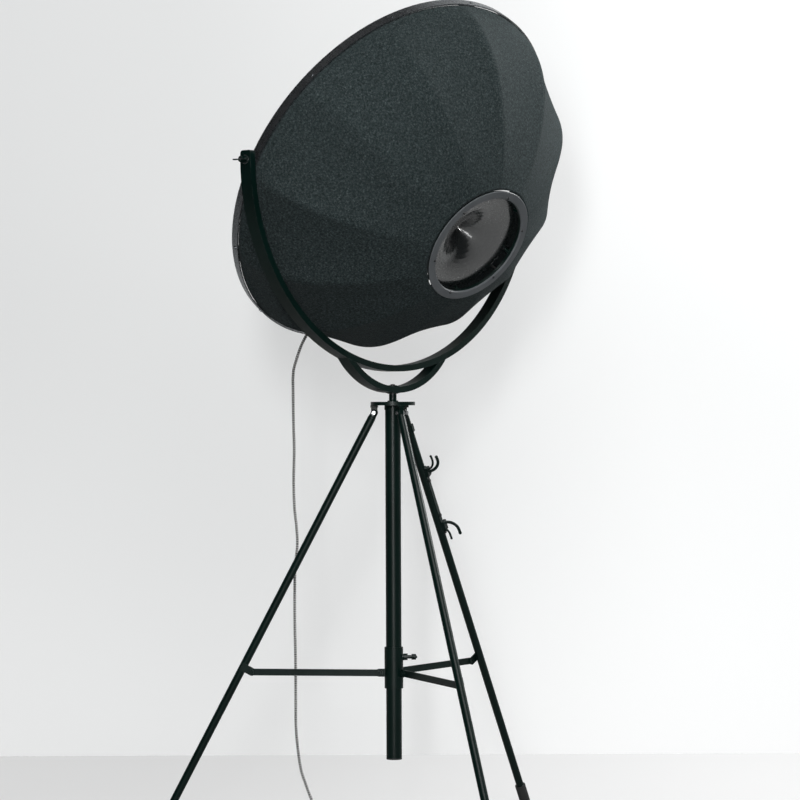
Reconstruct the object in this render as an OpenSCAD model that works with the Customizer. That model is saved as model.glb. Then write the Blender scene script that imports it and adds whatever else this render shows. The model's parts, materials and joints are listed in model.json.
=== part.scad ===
// Tripod spotlight floor lamp: a large fabric dome shade on a steel yoke, a sliding mast,
// and a folding tripod with a spreader. Millimetres, +Z up.
// The origin is on the floor under the column axis. The light shines towards -Y,
// the shade tilts about an axis along X, and the apex ring is on the +Y side.

/* [Tripod] */
// Height of the leg hinges above the floor
hinge_z = 936; // [910:1:960]
// Distance from the column axis to the leg hinges
hinge_r = 42; // [40.5:0.5:43]
// Splay of each leg from the vertical, in degrees
splay = 27.7; // [26:0.1:29]
// Azimuth of the first leg, in degrees from +X
leg_az = 307.9; // [300:0.1:310]
// Diameter of a leg tube
leg_d = 18; // [16:1:18]
// Wall of a leg tube
leg_wall = 1.5; // [1:0.1:2.5]
// Diameter of a rubber foot
foot_d = 25; // [23:0.5:28]
// Diameter of the top plate
plate_d = 100; // [100:1:120]
// Thickness of the top plate
plate_t = 8; // [6:0.5:10]
// Height of the collet on the top plate
collet_h = 3; // [2:0.5:12]
// Width of a hinge bracket
bracket_w = 16; // [15:0.5:17]
// Thickness of the hinge tongue on a leg
tongue_t = 8; // [6:0.5:9]
// Diameter of the hinge bolts
bolt_d = 5; // [4:0.5:6]

// Distance of the upper cord hook from the leg's hinge
upper_hook_at = 165; // [140:1:180]
// Distance of the lower cord hook from the leg's hinge
lower_hook_at = 292; // [270:1:292]

/* [Column] */
// Diameter of the column tube
column_d = 35; // [34:0.5:36]
// Wall of the column tube
column_wall = 2.5; // [2:0.1:3]
// Height of the lower end of the column above the floor
column_bottom = 160; // [140:1:180]
// Diameter of the sliding mast
mast_d = 17; // [16:0.5:18]
// Lower end of the mast at its lowest setting
mast_bottom = 300; // [280:1:330]

/* [Spreader] */
// Height of the spreader arms
arm_z = 352; // [345:1:360]
// Radius of the outer arm pivots
arm_out_r = 322; // [316:1:328]
// Radius of the inner arm pivots
arm_in_r = 32; // [31:1:33]
// Height of a flat arm bar
arm_h = 15; // [12:0.5:16]
// Thickness of a flat arm bar
arm_t = 4; // [3:0.5:5]
// Diameter of the sliding collar
collar_d = 42; // [42:0.5:44]
// Lower end of the collar
collar_bottom = 317; // [312:0.5:322]
// Upper end of the collar
collar_top = 409.5; // [404:0.5:414]
// Height of the wing screw on the collar
wing_z = 387; // [383:1:392]

/* [Yoke] */
// Clearance between the rim band and the yoke
yoke_gap = 5; // [4:0.5:8]
// Thickness of the yoke bar
yoke_t = 14; // [12:0.5:14]
// Width of the yoke bar
yoke_w = 32; // [28:1:34]
// Outer radius of the crescent under the yoke
crescent_r = 202; // [199:1:205]
// Drop of the crescent below the yoke arc
crescent_drop = 48; // [40:1:60]
// Length of mast that shows with the mast down
mast_show = 15; // [4:1:40]
// Height of the yoke ends above the tilt axis
yoke_over = 20; // [16:0.5:22]
// Diameter of the pivot bolts
pivot_d = 8; // [7:0.5:9]

/* [Shade] */
// Tilt of the light above the horizontal, in degrees
tilt = 34; // [0:0.5:60]
// Outer radius of the rim band
rim_r = 430; // [428:0.5:430.5]
// Thickness of the rim band
rim_t = 3; // [2.5:0.1:3.5]
// Distance of the band's open edge in front of the tilt axis
rim_front = 7; // [6:0.5:8]
// Distance of the band's fabric edge behind the tilt axis
rim_back = 13.5; // [13.5:0.5:20]
// Number of ribs and gores
ribs = 12; // [12:1:12]
// Angle from the pivots to the next rib, in degrees
rib_phase = 4; // [3:0.5:5]
// Diameter of a rib
rib_d = 5; // [4:0.5:5]
// Radius of the ribs' tight arc beside the rim, at the fabric
arc_r = 280; // [276:1:284]
// How far the centre of that arc lies in front of the tilt axis
arc_drop = 16; // [10:1:20]
// Height of the fabric's top edge behind the tilt axis
dome_h = 314; // [308:1:322]
// Thickness of the fabric
fabric_t = 1.2; // [1:0.1:1.4]
// How far the gores draw in between the ribs, against a straight chord
draw_in = 1.6; // [0:0.05:1.8]
// Outer radius of the apex ring
apex_r = 137; // [136:0.5:139]
// Radius of the opening in the apex ring
apex_in = 118; // [117:0.5:119]
// Thickness of the apex ring
apex_t = 3; // [2.5:0.1:5]

/* [Lamp] */
// Radius of the funnel's edge
funnel_r = 115; // [112:0.5:117]
// Distance of the funnel's edge behind the apex ring's face
funnel_back = 24; // [22:0.5:28]
// Distance of the funnel's tip behind the apex ring's face
funnel_tip = 91; // [80:1:100]
// Outer radius of the lamp cup
cup_r = 80; // [76:1:82]
// Height of the cup's mouth behind the tilt axis
cup_mouth = 100; // [96:1:104]
// Radius of the bulb
bulb_r = 45; // [40:1:47]

/* [Cord] */
// Diameter of the textile cord
cord_d = 6.5; // [6:0.1:6.5]
// Turns in each layer of the coil
coil_turns = 3.5; // [2.5:1:3.5]
// Mean radius of the coil
coil_mean_r = 34; // [34:0.5:36]

/* [Hidden] */

$fn = 64;
eps = 0.01;
fit = 0.05;      // radial clearance of a running fit
face_gap = 0.1;  // gap between two flat faces that slide

steel_green = "#1f2b28";
ring_grey = "#55585a";
band_grey = "#a9adad";
fabric_grey = "#39423f";
bright = "#c9ccce";
rubber_black = "#141615";
cord_grey = "#4d5152";
gloss_black = "#0c0e0e";
white = "#e9e6dc";
lamp_white = "#f3efe2";

// ---- derived sizes of the tripod
hinge_drop = 8;                       // half length of the block that carries a leg
tongue_r = 7;                         // round end of the tongue in a leg's fork
strip_face = 10.6;                    // from a leg's axis to the face of the hooks' strip
leg_flat = leg_d / 2 - 1.5;           // from a leg's axis to the flats of its fork
plate_z = hinge_z + 17;
tube_top = 12;                        // from the hinge to the square end of the leg tube
leg_end = (hinge_z - 4 - leg_d / 2 * sin(splay)) / cos(splay);
ear_dx = arm_out_r - hinge_r;
ear_dz = hinge_z - arm_z;
ear_len = norm([ear_dx, ear_dz]);
ear_lag = splay - atan(ear_dx / ear_dz);
ear_in = ear_len * sin(ear_lag);      // from the leg axis inwards to the ear's pivot
ear_down = ear_len * cos(ear_lag);
ear_y = 6.1;
ear_t = 3;
lug_y = ear_y + 0.2;
arm_y = lug_y + ear_t + face_gap;
wing_az = 134;
hook_turn = -78;                      // direction of the cord hooks about their leg

// ---- derived sizes of the swivel
mast_top = plate_z + plate_t + collet_h + mast_show;    // the mast's shoulder
crescent_z = mast_top + 2;
yoke_r = rim_r + yoke_gap + yoke_t;   // outer radius of the yoke arc
pivot_z = crescent_z + crescent_drop + yoke_r;          // height of the tilt axis
boss_top = crescent_z + yoke_t + 2;   // upper face of the crescent's boss
spigot_top = boss_top + fit;
spigot_d = 10;

// ---- derived sizes of the shade
band_in = rim_r - rim_t;
ridge_r = band_in - 0.4;              // fabric's outer radius at the rim
arc_c = ridge_r - sqrt(arc_r * arc_r - arc_drop * arc_drop);
arc_turn = 45;
joint_p = [arc_c + arc_r * cos(arc_turn), arc_r * sin(arc_turn) - arc_drop];
dome_p = [apex_r + 1.5, dome_h];
dome_v = dome_p - joint_p;
flat_r = -(dome_v * dome_v) / (2 * (dome_v * [cos(arc_turn), sin(arc_turn)]));
flat_c = joint_p - flat_r * [cos(arc_turn), sin(arc_turn)];
flat_end = atan2(dome_p[1] - flat_c[1], dome_p[0] - flat_c[0]);
hem_h = 12;
rib_in = fabric_t + 1.8 + rib_d / 2;  // from the fabric's outer face in to a rib's centre
apex_z = dome_h + 0.6;
apex_face = apex_z + apex_t;
clamp_top = dome_h - fabric_t - 0.2;
clamp_t = 5;
clamp_z = clamp_top - clamp_t;
screw_phase = 20.8;
screw_r = apex_in + 4.5;
rod_end_r = (apex_r + apex_in) / 2 - 1;  // upper ends of the support rods
pillar_phase = 50.8;
rod_phase = 100;
grommet_a = 85;
boss_r = rim_r + 3.2;                 // outer end of the pivot spacers
bolt_end = yoke_r + 15;               // outer end of the pivot bolts
cut_in = band_in - 10;                // radial span of the holes through the band
cut_out = rim_r + 10;

// ---- the cord's route. Lead: radius, angle and height in the shade's own frame
lead_plane = 90 + rib_phase;
lead_off = rib_in + 6.8;              // from the fabric's outer face in to the lead's centre
lead_bend = 27;                       // bend radius of the lead
gland_z = 85;                         // height of the gland in the cup's side
function turned(c, a) = c + lead_bend * [cos(a), sin(a)];
low_c = [cup_r + 8, gland_z + lead_bend];
high_c = ridge(0.9, lead_off + lead_bend);
lead_to_rib = concat([[cup_r + 4.1, gland_z]], [for (a = [-90, -65, -40, -15]) turned(low_c, a)],
    [for (d = [146, 116, 80, 44, 14]) turned(high_c, 170) - d * [sin(10), cos(10)]],
    [for (a = [170, 145, 120, 95, 75]) turned(high_c, a)]);
lead_on_rib = [for (s = [0.88, 0.82, 0.76, 0.7, 0.62, 0.54, 0.46, 0.38, 0.3, 0.22, 0.17])
    ridge(s, lead_off)];
// From the lowest rib round to the grommet: in from the rim, along it, and the height
lead_at_rim = [[26.6, 62.8, 53], [28.6, 61.5, 38], [30.6, 57.5, 25.5], [31.8, 50, 15.5],
               [32.2, 39.5, 9.5], [31.6, 28, 6.6], [29.3, 17, 5.3], [24, 7, 5], [16.5, 1.4, 5],
               [10.5, 0.1, 5], [rim_t + 3, 0, 5]];
LEAD = concat([for (p = concat(lead_to_rib, lead_on_rib)) [p[0], lead_plane, p[1]]],
    [for (q = lead_at_rim) [rim_r - q[0], grommet_a + q[1] / (rim_r - q[0]) * 180 / PI, q[2]]]);
// Free cord from the rim to the floor, at rest
UPPER = [[37.7, -236.6, 1118.3], [38.5, -241.6, 1110.9], [40, -256, 1088], [41, -268, 1062],
         [41, -278, 1038], [41, -281, 1015], [41, -281, 1005]];
DROP = [[41, -281, 1005], [41, -281, 995], [40, -281, 920], [38, -281, 850], [38, -283, 780],
        [37, -282, 720], [35, -277, 670], [34, -276, 630], [37, -280, 580], [38, -281, 520],
        [38, -281, 440], [37, -280, 360], [37, -280, 280], [37, -279, 200], [34, -269, 120],
        [28, -258, 80], [21, -246, 44], [16, -232, 16], [14, -216, 4.5], [14, -205, 3.5],
        [14, -196.5, 3.5]];
TAIL = [[14, -183.5, 10.5], [14, -176, 10.8], [13, -165, 13], [12, -154, 17], [12, -146, 19],
        [12, -138, 19]];
coil_c = [60, -190];
coil_pitch = cord_d + 0.5;
coil_z = 3.5;
coil_rings = 24;
coil_out_r = coil_mean_r + coil_turns * coil_pitch / 2;
plug_y = -138;
plug_x = 12;
plug_z = 19;

// ---- frames
module leg_frame(i) {
    rotate([0, 0, leg_az + 120 * (i - 1)]) translate([hinge_r, 0, hinge_z])
        rotate([0, -splay, 0]) children();
}

module arm_frame(i) {
    rotate([0, 0, leg_az + 120 * (i - 1)]) translate([arm_in_r, 0, arm_z]) children();
}

module shade_frame() {
    translate([0, 0, pivot_z]) rotate([-(90 + tilt), 0, 0]) children();
}

// A cylinder along +Y from y0 to y1
module along_y(d, y0, y1) {
    translate([0, y0, 0]) rotate([-90, 0, 0]) cylinder(d = d, h = y1 - y0);
}

// A cylinder along +X from x0 to x1
module along_x(d, x0, x1) {
    translate([x0, 0, 0]) rotate([0, 90, 0]) cylinder(d = d, h = x1 - x0);
}

// A rod between two points
module rod(p, q, d) {
    v = q - p;
    translate(p) rotate([0, acos(v[2] / norm(v)), atan2(v[1], v[0])]) cylinder(d = d, h = norm(v));
}

// ---- swept tube along a list of points
function unit(v) = v / norm(v);
function spline(a, b, c, d, t) =
    0.5 * (2 * b + (c - a) * t + (2 * a - 5 * b + 4 * c - d) * t * t
           + (3 * b - a - 3 * c + d) * t * t * t);
function at(p, i) = i < 0 ? 2 * p[0] - p[1] : i >= len(p) ? 2 * p[len(p) - 1] - p[len(p) - 2] : p[i];
// A smooth path through the points p, with a point about every step millimetres
function smooth(p, step) = concat(
    [for (i = [0 : len(p) - 2]) let (n = max(1, ceil(norm(p[i + 1] - p[i]) / step)))
        for (k = [0 : n - 1]) spline(at(p, i - 1), p[i], p[i + 1], at(p, i + 2), k / n)],
    [p[len(p) - 1]]);
function tangents(c) = [for (i = [0 : len(c) - 1])
    unit(c[min(i + 1, len(c) - 1)] - c[max(i - 1, 0)])];
function square_to(n, t) = unit(n - (n * t) * t);
function normals(t, n0) = [for (i = 0, n = square_to(n0, t[0]); i < len(t);
    i = i + 1, n = square_to(n, t[min(i, len(t) - 1)])) n];

module tube(c, d, sides, n0 = [1, 0.2, 0.1]) {
    t = tangents(c);
    n = normals(t, n0);
    count = len(c);
    pts = [for (i = [0 : count - 1]) for (k = [0 : sides - 1])
        let (b = cross(t[i], n[i]), a = 360 * k / sides)
        c[i] + d / 2 * (cos(a) * n[i] + sin(a) * b)];
    skin = [for (i = [0 : count - 2]) for (k = [0 : sides - 1])
        let (a = i * sides + k, b = i * sides + (k + 1) % sides)
        each [[a, a + sides, b], [b, a + sides, b + sides]]];
    ends = [for (k = [1 : sides - 2])
        each [[0, k, k + 1], [(count - 1) * sides, (count - 1) * sides + k + 1,
                              (count - 1) * sides + k]]];
    polyhedron(points = pts, faces = concat(skin, ends), convexity = 8);
}

// ---- column and top
module column_tube() {
    color(steel_green) difference() {
        union() {
            translate([0, 0, column_bottom]) cylinder(d = column_d, h = plate_z - column_bottom);
            translate([0, 0, plate_z - 10]) cylinder(d = column_d + 3, h = 10);
        }
        translate([0, 0, column_bottom - 1])
            cylinder(d = column_d - 2 * column_wall, h = plate_z - column_bottom + 2);
    }
}

module top_plate() {
    color(steel_green) difference() {
        translate([0, 0, plate_z]) cylinder(d = plate_d, h = plate_t, $fn = 96);
        translate([0, 0, plate_z - 1]) cylinder(d = mast_d + 2 * fit, h = plate_t + 2);
    }
}

module rod_collet() {
    color(steel_green) translate([0, 0, plate_z + plate_t]) difference() {
        union() {
            cylinder(d = mast_d + 8, h = collet_h / 2);
            translate([0, 0, collet_h / 2])
                cylinder(d1 = mast_d + 8, d2 = mast_d + 4, h = collet_h / 2);
        }
        translate([0, 0, -1]) cylinder(d = mast_d + 2 * fit, h = collet_h + 2);
    }
}

module column_bush() {
    bush_h = 30;
    color(white) translate([0, 0, plate_z - bush_h]) difference() {
        cylinder(d = column_d - 2 * column_wall, h = bush_h);
        translate([0, 0, -1]) cylinder(d = mast_d + 2 * fit, h = bush_h + 2);
    }
}

module column_end_plug() {
    color(rubber_black) translate([0, 0, column_bottom - 3]) {
        cylinder(d = column_d, h = 3);
        translate([0, 0, 3 - eps]) cylinder(d = column_d - 2 * column_wall, h = 14);
    }
}

module leg_brackets() {
    block_h = 5;
    color(steel_green) for (i = [1 : 3])
        rotate([0, 0, leg_az + 120 * (i - 1)]) translate([hinge_r, 0, hinge_z]) difference() {
            union() {
                along_y(2 * tongue_r, -tongue_t / 2, tongue_t / 2);
                translate([-tongue_r, -tongue_t / 2, 0])
                    cube([2 * tongue_r, tongue_t, plate_z - hinge_z - 1]);
                translate([-hinge_drop, -bracket_w / 2, plate_z - hinge_z - block_h])
                    cube([2 * hinge_drop, bracket_w, block_h]);
            }
            along_y(bolt_d + 2 * fit, -bracket_w, bracket_w);
        }
}

module leg_hinge_bolts() {
    color(steel_green) for (i = [1 : 3])
        rotate([0, 0, leg_az + 120 * (i - 1)]) translate([hinge_r, 0, hinge_z]) {
            along_y(bolt_d, -leg_flat - 1, leg_flat + 1);
            along_y(9, leg_flat + face_gap, leg_flat + 2.6);
            along_y(9, -leg_flat - 2.6, -leg_flat - face_gap);
        }
}

// ---- legs
module leg(i) {
    plug_l = 26;
    color(steel_green) leg_frame(i) {
        difference() {
            translate([0, 0, -leg_end]) cylinder(d = leg_d, h = leg_end - tube_top);
            translate([0, 0, -leg_end - 1])
                cylinder(d = leg_d - 2 * leg_wall, h = leg_end - tube_top + 1 - plug_l);
        }
        difference() {
            union() {
                translate([0, 0, -tube_top - 1]) cylinder(d = leg_d - 1, h = tube_top + 4);
                translate([0, 0, 3]) cylinder(d1 = leg_d - 1, d2 = leg_d - 6, h = 4.5);
            }
            for (side = [-1, 1])
                translate([-leg_d, side * (leg_flat + leg_d / 2) - leg_d / 2, -leg_flat])
                    cube([2 * leg_d, leg_d, 4 * leg_flat]);
            translate([-leg_d, -tongue_t / 2 - face_gap, -tongue_r - 1])
                cube([2 * leg_d, tongue_t + 2 * face_gap, 3 * tongue_r]);
            along_y(bolt_d + 2 * fit, -leg_d, leg_d);
        }
        difference() {
            translate([-ear_in, ear_y, -ear_down]) {
                along_y(18, 0, ear_t);
                translate([0, 0, -9]) cube([ear_in + 3, ear_t, 18]);
            }
            translate([-ear_in, 0, -ear_down]) along_y(6, 0, 20);
            translate([0, 0, -ear_down - 10]) cylinder(d = leg_d - 2 * leg_wall, h = 20);
        }
    }
}

module foot_cap(i) {
    sleeve = 34;
    color(rubber_black) difference() {
        intersection() {
            leg_frame(i) translate([0, 0, -leg_end - 24]) cylinder(d = foot_d, h = sleeve + 24);
            translate([-700, -700, 0]) cube([1400, 1400, 80]);
        }
        leg_frame(i) translate([0, 0, -leg_end]) cylinder(d = leg_d, h = sleeve + 1);
    }
}

// ---- spreader
module spreader_collar() {
    color(steel_green) difference() {
        union() {
            translate([0, 0, collar_bottom]) cylinder(d = collar_d, h = collar_top - collar_bottom);
            for (i = [1 : 3]) arm_frame(i) {
                along_y(18, lug_y, lug_y + ear_t);
                translate([16 - arm_in_r, lug_y, -9]) cube([arm_in_r - 16, ear_t, 18]);
            }
            rotate([0, 0, wing_az]) translate([0, 0, wing_z]) along_x(15, 16, 31);
        }
        translate([0, 0, collar_bottom - 1])
            cylinder(d = column_d + 2 * fit, h = collar_top - collar_bottom + 2);
        for (i = [1 : 3]) arm_frame(i) along_y(bolt_d + 2 * fit, 0, 12);
        rotate([0, 0, wing_az]) translate([0, 0, wing_z]) along_x(8 + 2 * fit, 10, 40);
    }
}

module collar_pivot_bolts() {
    color(steel_green) for (i = [1 : 3]) arm_frame(i) {
        along_y(bolt_d, lug_y - 1, arm_y + arm_t + 1);
        along_y(9, arm_y + arm_t + face_gap, arm_y + arm_t + 3.5);
        along_y(9, lug_y - 3, lug_y);
    }
}

module collar_wing_screw() {
    hub = 40;
    color(steel_green) rotate([0, 0, wing_az]) translate([0, 0, wing_z]) {
        along_x(8, column_d / 2 + face_gap, hub + 1);
        along_x(13, hub, hub + 10);
        rotate([90, 0, 0]) for (s = [-1, 1]) translate([hub + 6, 0, s * 9])
            rotate([0, s * 18, 0]) wing_blade(11, 9);
    }
}

// A flat rounded wing in the XZ plane, 2.4 thick
module wing_blade(h, w) {
    translate([0, 1.2, 0]) rotate([90, 0, 0]) linear_extrude(2.4) {
        square([w, 2 * h - w], center = true);
        for (s = [-1, 1]) translate([0, s * (h - w / 2)]) circle(d = w, $fn = 32);
    }
}

module spreader_arm(i) {
    arm_l = arm_out_r - arm_in_r;
    color(steel_green) arm_frame(i) difference() {
        union() {
            translate([0, arm_y, -arm_h / 2]) cube([arm_l, arm_t, arm_h]);
            along_y(arm_h, arm_y, arm_y + arm_t);
            translate([arm_l, 0, 0]) along_y(arm_h, arm_y, arm_y + arm_t);
        }
        along_y(bolt_d + 2 * fit, arm_y - 1, arm_y + arm_t + 1);
        translate([arm_l, 0, 0]) along_y(6, arm_y - 1, arm_y + arm_t + 1);
    }
}

module arm_end_bolts(i) {
    color(steel_green) arm_frame(i) translate([arm_out_r - arm_in_r, 0, 0]) {
        along_y(6, arm_y, arm_y + arm_t + 1);
        along_y(11, arm_y + arm_t, arm_y + arm_t + 3);
    }
}

// ---- cord hooks on the third leg
module hook_frame() {
    leg_frame(3) rotate([0, 0, hook_turn]) children();
}

module hook_backplate() {
    top = upper_hook_at - 24;
    bottom = lower_hook_at + 24;
    stud_at = 40;
    color(steel_green) hook_frame() difference() {
        union() {
            translate([6, -6, -bottom]) cube([strip_face - 6, 12, bottom - top]);
            translate([6, -5, -stud_at - 9]) cube([strip_face - 5, 10, 18]);
        }
        translate([0, 0, -bottom - 10]) cylinder(d = leg_d + 2 * fit, h = bottom);
    }
}

// One prong, turned about the leg by side degrees: it leaves its block at root, climbs at slope
// degrees, bends up and ends in a straight tip. Its shape is the reach before the bend, the
// bend's radius and angle, and the length of the tip
module prong(side, thick, root, slope, shape) {
    reach = shape[0];
    bend = shape[1];
    turn = shape[2];
    tip = shape[3];
    rotate([0, 0, side]) translate([15, 0, root]) rotate([0, -slope, 0]) {
        along_x(thick, 0, reach);
        translate([reach, 0, bend]) rotate([90, 0, 0]) rotate([0, 0, -90])
            rotate_extrude(angle = turn) translate([bend, 0]) circle(d = thick, $fn = 32);
        translate([reach + bend * sin(turn), 0, bend * (1 - cos(turn))])
            rotate([0, 90 - turn, 0]) {
                sphere(d = thick + 0.2, $fn = 32);
                cylinder(d = thick, h = tip);
                translate([0, 0, tip]) sphere(d = thick + 0.6, $fn = 32);
            }
    }
}

module hook(up, down, low, high) {
    color(steel_green) hook_frame() translate([0, 0, -down]) mirror([0, 0, up ? 0 : 1]) {
        translate([strip_face, -7, low[0] - 6])
            cube([17 - strip_face, 16, high[0] - low[0] + 11]);
        prong(24, 7, low[0], low[1], low[2]);
        prong(-14, 5, high[0], high[1], high[2]);
    }
}

// Each prong is given as its root's height, its slope and its shape
module hook_upper() {
    hook(true, upper_hook_at, [6.5, 16, [12, 20.6, 78, 7]], [16.5, 28, [13, 25, 72, 5]]);
}

module hook_lower() {
    hook(false, lower_hook_at, [-2.5, 18, [6, 30, 70, 8]], [9.5, 30, [2, 16, 58, 11]]);
}

module hook_screws() {
    // under the upper hook, over the lower hook and at the strip's lower end
    color(steel_green) hook_frame()
        for (at = [upper_hook_at + 12, lower_hook_at - 24, lower_hook_at + 19.2])
            translate([0, 0, -at]) along_x(8, strip_face, strip_face + 2.4);
}

// ---- mast and swivel
module mast_rod() {
    solid_top = 30;
    color(steel_green) difference() {
        union() {
            translate([0, 0, mast_bottom]) cylinder(d = mast_d, h = mast_top - mast_bottom);
            translate([0, 0, mast_top - 1]) cylinder(d = spigot_d, h = spigot_top - mast_top + 1);
        }
        translate([0, 0, mast_bottom - 1])
            cylinder(d = mast_d - 5, h = mast_top - mast_bottom - solid_top + 1);
    }
}

module rod_guide() {
    color(white) translate([0, 0, mast_bottom - 4]) {
        difference() {
            translate([0, 0, 4]) cylinder(d = column_d - 2 * column_wall - 2 * fit, h = 20);
            cylinder(d = mast_d, h = 30);
        }
        cylinder(d = column_d - 2 * column_wall - 2 * fit, h = 4);
    }
}

module swivel_washers() {
    color(bright) {
        difference() {
            translate([0, 0, mast_top]) cylinder(d = 24, h = 1.4);
            translate([0, 0, mast_top - 1]) cylinder(d = spigot_d + 2 * fit, h = 4);
        }
        difference() {
            translate([0, 0, spigot_top]) cylinder(d = 20, h = 1.2);
            translate([0, 0, spigot_top - 1]) cylinder(d = 6 + 2 * fit, h = 4);
        }
    }
}

module swivel_screw() {
    color(bright) {
        translate([0, 0, spigot_top]) cylinder(d = 6, h = 2);
        translate([0, 0, spigot_top + 1.2]) cylinder(d1 = 12, d2 = 8, h = 2.4);
    }
}

// ---- yoke
module yoke_arc() {
    color(steel_green) translate([0, 0, pivot_z]) difference() {
        union() {
            rotate([90, 0, 0]) rotate([0, 0, 180]) rotate_extrude(angle = 180, $fn = 128)
                translate([yoke_r - yoke_t, -yoke_w / 2]) square([yoke_t, yoke_w]);
            for (s = [-1, 1]) translate([s * (yoke_r - yoke_t / 2), 0, 0]) yoke_end();
        }
        along_x(pivot_d + 2 * fit, -yoke_r - 5, yoke_r + 5);
    }
}

// The straight upper end of a yoke arm, with rounded corners
module yoke_end() {
    corner = 7;
    rotate([90, 0, 90]) translate([0, 0, -yoke_t / 2]) linear_extrude(yoke_t) {
        translate([-yoke_w / 2, -eps]) square([yoke_w, yoke_over - corner]);
        translate([-yoke_w / 2 + corner, 0]) square([yoke_w - 2 * corner, yoke_over]);
        for (s = [-1, 1]) translate([s * (yoke_w / 2 - corner), yoke_over - corner])
            circle(r = corner, $fn = 32);
    }
}

module yoke_crescent() {
    centre = crescent_z + crescent_r;
    color(steel_green) difference() {
        union() {
            translate([0, 0, centre]) rotate([90, 0, 0]) rotate([0, 0, 180])
                rotate_extrude(angle = 180, $fn = 128)
                translate([crescent_r - yoke_t, -yoke_w / 2]) square([yoke_t, yoke_w]);
            translate([0, 0, mast_top + 1.5]) cylinder(d = 32, h = boss_top - mast_top - 1.5);
        }
        translate([0, yoke_w, pivot_z]) rotate([90, 0, 0])
            cylinder(r = yoke_r + fit, h = 2 * yoke_w, $fn = 128);
        translate([0, 0, mast_top]) cylinder(d = spigot_d + 2 * fit, h = boss_top - mast_top + 1);
    }
}

// ---- pivots
module pivot_bolts() {
    color(bright) translate([0, 0, pivot_z]) for (s = [0, 180]) rotate([0, 0, s]) {
        along_x(pivot_d, band_in - 5, bolt_end);
        along_x(15, band_in - 7.2, band_in - 3.2);
    }
}

module pivot_washers() {
    color(bright) translate([0, 0, pivot_z]) for (s = [0, 180]) rotate([0, 0, s]) difference() {
        union() {
            along_x(16, rim_r + fit, boss_r);
            along_x(22, boss_r, yoke_r - yoke_t - 0.3);
            along_x(20, yoke_r + face_gap, yoke_r + 1.8);
        }
        along_x(pivot_d + 2 * fit, rim_r - 2, yoke_r + 5);
    }
}

module wing_nut(s) {
    nut_x = yoke_r + 2;
    color(steel_green) translate([0, 0, pivot_z]) rotate([0, 0, s]) difference() {
        union() {
            along_x(16, nut_x, nut_x + 8);
            along_x(13, nut_x + 8 - eps, nut_x + 13);
            for (k = [-1, 1]) translate([nut_x + 11, k * 13, 0]) rotate([90, 0, 90 - k * 25])
                rotate([0, 90, 0]) wing_blade(9, 11);
        }
        along_x(pivot_d + 2 * fit, nut_x - 1, nut_x + 20);
    }
}

// ---- shade
module rim_band() {
    color(band_grey) shade_frame() difference() {
        rotate_extrude($fn = 144) {
            translate([band_in, -rim_front]) square([rim_t, rim_front + rim_back]);
            translate([band_in - 3, -rim_front]) square([4, 2]);
        }
        along_x(pivot_d + 2 * fit, -500, 500);
        for (k = [0 : ribs - 1]) rotate([0, 0, rivet_angle(k)]) translate([0, 0, 4])
            along_x(4, cut_in, cut_out);
        rotate([0, 0, grommet_a]) translate([0, 0, 5]) along_x(11, cut_in, cut_out);
    }
}

// The angle of the rivet that holds rib k: beside the pivots it sits on the rib's other side
function beside_pivot(k) = k == 0 || k == ribs / 2;
function rib_angle(k) = rib_phase + 360 / ribs * k;
function rivet_angle(k) = rib_angle(k) + (beside_pivot(k) ? 3 : -rib_phase);

// A curved plate inside the band, from angle a to angle b
module curved_plate(a, b, r, t, z0, z1) {
    rotate([0, 0, a]) rotate_extrude(angle = b - a, $fn = 144)
        translate([r - t, z0]) square([t, z1 - z0]);
}

module pivot_plates() {
    color(steel_green) shade_frame() for (s = [0, 180]) rotate([0, 0, s]) difference() {
        curved_plate(-2.2, 2.2, band_in - fit, 3, -5, 11);
        along_x(pivot_d + 2 * fit, cut_in, cut_out);
    }
}

module rim_rivets() {
    color(band_grey) shade_frame() for (k = [0 : ribs - 1])
        rotate([0, 0, rivet_angle(k)]) translate([0, 0, 4]) {
            along_x(4, band_in - 4.2, rim_r + 0.5);
            along_x(8, rim_r + fit, rim_r + 1.4);
            along_x(6.5, band_in - 5, band_in - 3.6);
        }
}

// A rib: a tight arc beside the rim and a flatter arc up to the apex
module rib() {
    tight = arc_r - rib_in;
    start = asin(arc_drop / tight);
    top_turn = flat_end - 0.6;
    rotate([90, 0, 0]) {
        translate([arc_c, -arc_drop]) {
            rotate([0, 0, start]) rotate_extrude(angle = arc_turn - start, $fn = 180)
                translate([tight, 0]) circle(d = rib_d, $fn = 24);
            rotate([0, 0, arc_turn]) translate([tight, 0, 0]) sphere(d = rib_d + 0.1, $fn = 24);
        }
        translate(flat_c) rotate([0, 0, arc_turn])
            rotate_extrude(angle = top_turn - arc_turn, $fn = 180)
            translate([flat_r - rib_in, 0]) circle(d = rib_d, $fn = 24);
    }
}

module shade_ribs() {
    foot_t = 3.4;
    color(steel_green) shade_frame() for (k = [0 : ribs - 1]) {
        a = rib_angle(k);
        lo = beside_pivot(k) ? -1.2 : -rib_phase - 1;
        hi = beside_pivot(k) ? rib_phase : 1;
        rotate([0, 0, a]) rib();
        difference() {
            curved_plate(a + lo, a + hi, band_in - fit, foot_t, -5 + fit, 11);
            rotate([0, 0, rivet_angle(k)]) translate([0, 0, 4]) along_x(4, cut_in, cut_out);
        }
    }
}

// The fabric's outer ridge line, from the hem (s = 0) to the apex (s = 1)
function ridge(s, off) = s < 0.5
    ? let (a0 = asin((hem_h + arc_drop) / arc_r), a = a0 + (arc_turn - a0) * 2 * s)
        [arc_c + (arc_r - off) * cos(a), (arc_r - off) * sin(a) - arc_drop]
    : let (a = arc_turn + (flat_end - arc_turn) * (2 * s - 1))
        flat_c + (flat_r - off) * [cos(a), sin(a)];
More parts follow.
